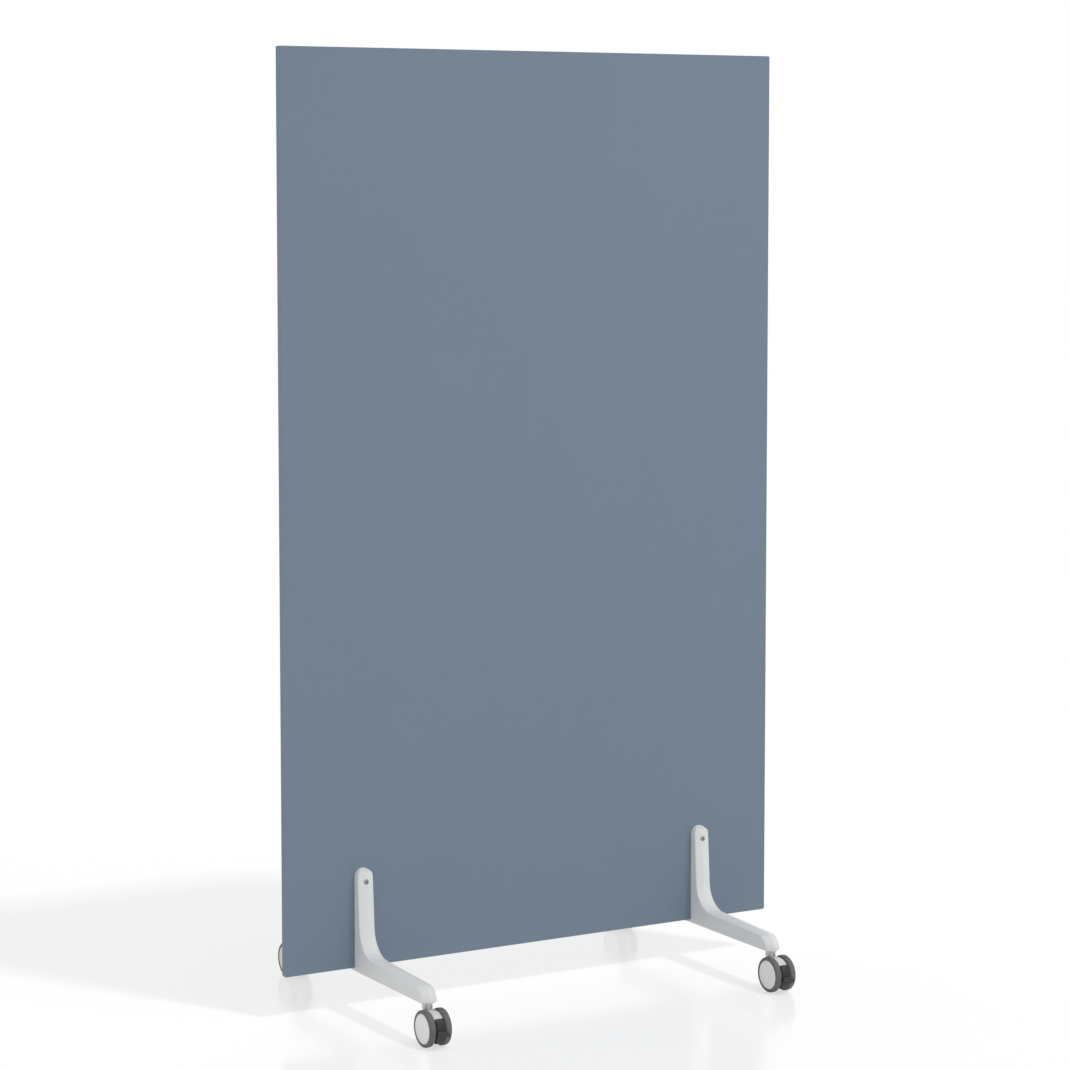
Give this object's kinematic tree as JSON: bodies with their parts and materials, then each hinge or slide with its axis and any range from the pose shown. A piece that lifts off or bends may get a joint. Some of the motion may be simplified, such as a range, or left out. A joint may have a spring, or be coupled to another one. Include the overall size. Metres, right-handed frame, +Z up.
{
  "type": "rolling partition",
  "caption": "Free-standing rolling partition: one tall plain board between clamped cast legs, on braked twin-wheel swivel casters.",
  "frame": {"origin": "on the floor under the middle of the board", "axes": "+X along the board's width, the front faces -Y, +Z up"},
  "size_m": [1, 0.615, 1.677],
  "materials": {
    "board": "matt pressed felt, the same colour through its thickness",
    "leg_coating": "satin pale grey powder coat",
    "steel": "satin steel",
    "tyre": "matt dark grey soft tread",
    "caster_cap": "smooth light grey moulding",
    "caster_housing": "smooth light grey moulding",
    "brake_pedal": "fine-grained black moulding"
  },
  "bodies": {
    "frame": {"board": "board", "left_tie_plate": "steel", "right_tie_plate": "steel", "tie_screws": "steel", "clamp_screws": "steel", "clamp_barrels": "steel", "front_left_leg": "leg_coating", "front_right_leg": "leg_coating", "rear_left_leg": "leg_coating", "rear_right_leg": "leg_coating", "front_left_stem": "steel", "front_right_stem": "steel", "rear_left_stem": "steel", "rear_right_stem": "steel"},
    "front_left_caster": {"front_left_housing": "caster_housing", "front_left_axle": "steel", "front_left_pedal_pin": "steel"},
    "front_left_pedal": {"front_left_brake_pedal": "brake_pedal"},
    "front_left_outer_wheel": {"front_left_outer_hub": "caster_cap", "front_left_outer_tyre": "tyre", "front_left_outer_cap": "caster_cap"},
    "front_left_inner_wheel": {"front_left_inner_hub": "caster_cap", "front_left_inner_tyre": "tyre", "front_left_inner_cap": "caster_cap"},
    "front_right_caster": {"front_right_housing": "caster_housing", "front_right_axle": "steel", "front_right_pedal_pin": "steel"},
    "front_right_pedal": {"front_right_brake_pedal": "brake_pedal"},
    "front_right_outer_wheel": {"front_right_outer_hub": "caster_cap", "front_right_outer_tyre": "tyre", "front_right_outer_cap": "caster_cap"},
    "front_right_inner_wheel": {"front_right_inner_hub": "caster_cap", "front_right_inner_tyre": "tyre", "front_right_inner_cap": "caster_cap"},
    "rear_left_caster": {"rear_left_housing": "caster_housing", "rear_left_axle": "steel", "rear_left_pedal_pin": "steel"},
    "rear_left_pedal": {"rear_left_brake_pedal": "brake_pedal"},
    "rear_left_outer_wheel": {"rear_left_outer_hub": "caster_cap", "rear_left_outer_tyre": "tyre", "rear_left_outer_cap": "caster_cap"},
    "rear_left_inner_wheel": {"rear_left_inner_hub": "caster_cap", "rear_left_inner_tyre": "tyre", "rear_left_inner_cap": "caster_cap"},
    "rear_right_caster": {"rear_right_housing": "caster_housing", "rear_right_axle": "steel", "rear_right_pedal_pin": "steel"},
    "rear_right_pedal": {"rear_right_brake_pedal": "brake_pedal"},
    "rear_right_outer_wheel": {"rear_right_outer_hub": "caster_cap", "rear_right_outer_tyre": "tyre", "rear_right_outer_cap": "caster_cap"},
    "rear_right_inner_wheel": {"rear_right_inner_hub": "caster_cap", "rear_right_inner_tyre": "tyre", "rear_right_inner_cap": "caster_cap"}
  },
  "joints": [
    {"name": "front_left_swivel", "type": "hinge", "parent": "frame", "child": "front_left_caster", "pos_m": [-0.35, -0.246, 0.071], "axis": [0, 0, 1], "continuous": true},
    {"name": "front_left_brake", "type": "hinge", "parent": "front_left_caster", "child": "front_left_pedal", "pos_m": [-0.35, -0.276, 0.0375], "axis": [1, 0, 0], "range_deg": [0, 10]},
    {"name": "front_left_outer_roll", "type": "hinge", "parent": "front_left_caster", "child": "front_left_outer_wheel", "pos_m": [-0.35, -0.266, 0.0315], "axis": [1, 0, 0], "continuous": true},
    {"name": "front_left_inner_roll", "type": "hinge", "parent": "front_left_caster", "child": "front_left_inner_wheel", "pos_m": [-0.35, -0.266, 0.0315], "axis": [1, 0, 0], "continuous": true},
    {"name": "front_right_swivel", "type": "hinge", "parent": "frame", "child": "front_right_caster", "pos_m": [0.35, -0.246, 0.071], "axis": [0, 0, 1], "continuous": true},
    {"name": "front_right_brake", "type": "hinge", "parent": "front_right_caster", "child": "front_right_pedal", "pos_m": [0.35, -0.276, 0.0375], "axis": [1, 0, 0], "range_deg": [0, 10]},
    {"name": "front_right_outer_roll", "type": "hinge", "parent": "front_right_caster", "child": "front_right_outer_wheel", "pos_m": [0.35, -0.266, 0.0315], "axis": [1, 0, 0], "continuous": true},
    {"name": "front_right_inner_roll", "type": "hinge", "parent": "front_right_caster", "child": "front_right_inner_wheel", "pos_m": [0.35, -0.266, 0.0315], "axis": [1, 0, 0], "continuous": true},
    {"name": "rear_left_swivel", "type": "hinge", "parent": "frame", "child": "rear_left_caster", "pos_m": [-0.35, 0.246, 0.071], "axis": [0, 0, 1], "continuous": true},
    {"name": "rear_left_brake", "type": "hinge", "parent": "rear_left_caster", "child": "rear_left_pedal", "pos_m": [-0.35, 0.276, 0.0375], "axis": [-1, 0, 0], "range_deg": [0, 10]},
    {"name": "rear_left_outer_roll", "type": "hinge", "parent": "rear_left_caster", "child": "rear_left_outer_wheel", "pos_m": [-0.35, 0.266, 0.0315], "axis": [1, 0, 0], "continuous": true},
    {"name": "rear_left_inner_roll", "type": "hinge", "parent": "rear_left_caster", "child": "rear_left_inner_wheel", "pos_m": [-0.35, 0.266, 0.0315], "axis": [1, 0, 0], "continuous": true},
    {"name": "rear_right_swivel", "type": "hinge", "parent": "frame", "child": "rear_right_caster", "pos_m": [0.35, 0.246, 0.071], "axis": [0, 0, 1], "continuous": true},
    {"name": "rear_right_brake", "type": "hinge", "parent": "rear_right_caster", "child": "rear_right_pedal", "pos_m": [0.35, 0.276, 0.0375], "axis": [-1, 0, 0], "range_deg": [0, 10]},
    {"name": "rear_right_outer_roll", "type": "hinge", "parent": "rear_right_caster", "child": "rear_right_outer_wheel", "pos_m": [0.35, 0.266, 0.0315], "axis": [1, 0, 0], "continuous": true},
    {"name": "rear_right_inner_roll", "type": "hinge", "parent": "rear_right_caster", "child": "rear_right_inner_wheel", "pos_m": [0.35, 0.266, 0.0315], "axis": [1, 0, 0], "continuous": true}
  ]
}
